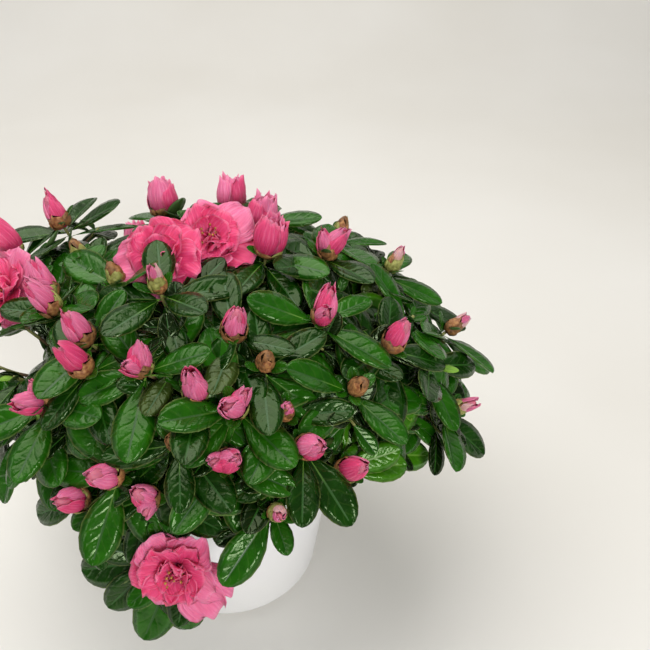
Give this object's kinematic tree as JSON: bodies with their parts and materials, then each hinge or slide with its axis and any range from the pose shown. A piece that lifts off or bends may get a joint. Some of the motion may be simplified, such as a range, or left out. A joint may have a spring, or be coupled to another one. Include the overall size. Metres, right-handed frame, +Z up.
{
  "type": "potted azalea shrub",
  "caption": "Low domed azalea shrub with whorled leaves, pink buds and double blooms, growing in a round tapered white pot.",
  "frame": {"origin": "centre of the pot's flat underside, on the surface that it stands on", "axes": "+Z up, -Y towards the plant's front, +X to the right seen from the front"},
  "size_m": [0.3283, 0.2927, 0.2549],
  "materials": {
    "pot": "smooth satin white",
    "soil": "dark moist peat, rough",
    "bark": "grey-brown bark, finely ridged",
    "foliage": "leathery glossy green leaves with pink buds and blooms"
  },
  "bodies": {
    "root": {"pot": "pot", "potting_soil": "soil", "trunk": "bark", "arm_1": "bark", "arm_2": "bark", "arm_3": "bark", "leader": "bark", "bough_upper_1": "bark", "bough_upper_2": "bark", "bough_upper_3": "bark", "bough_upper_4": "bark", "bough_upper_5": "bark", "bough_upper_6": "bark", "bough_side_1": "bark", "bough_side_2": "bark", "bough_side_3": "bark", "bough_side_4": "bark", "bough_side_5": "bark", "bough_side_6": "bark", "bough_side_7": "bark", "bough_side_8": "bark", "bough_side_9": "bark", "foliage_top": "foliage", "foliage_upper_1": "foliage", "foliage_upper_2": "foliage", "foliage_upper_3": "foliage", "foliage_upper_4": "foliage", "foliage_upper_5": "foliage", "foliage_upper_6": "foliage", "foliage_side_1": "foliage", "foliage_side_2": "foliage", "foliage_side_3": "foliage", "foliage_side_4": "foliage", "foliage_side_5": "foliage", "foliage_side_6": "foliage", "foliage_side_7": "foliage", "foliage_side_8": "foliage", "foliage_side_9": "foliage"}
  },
  "joints": []
}
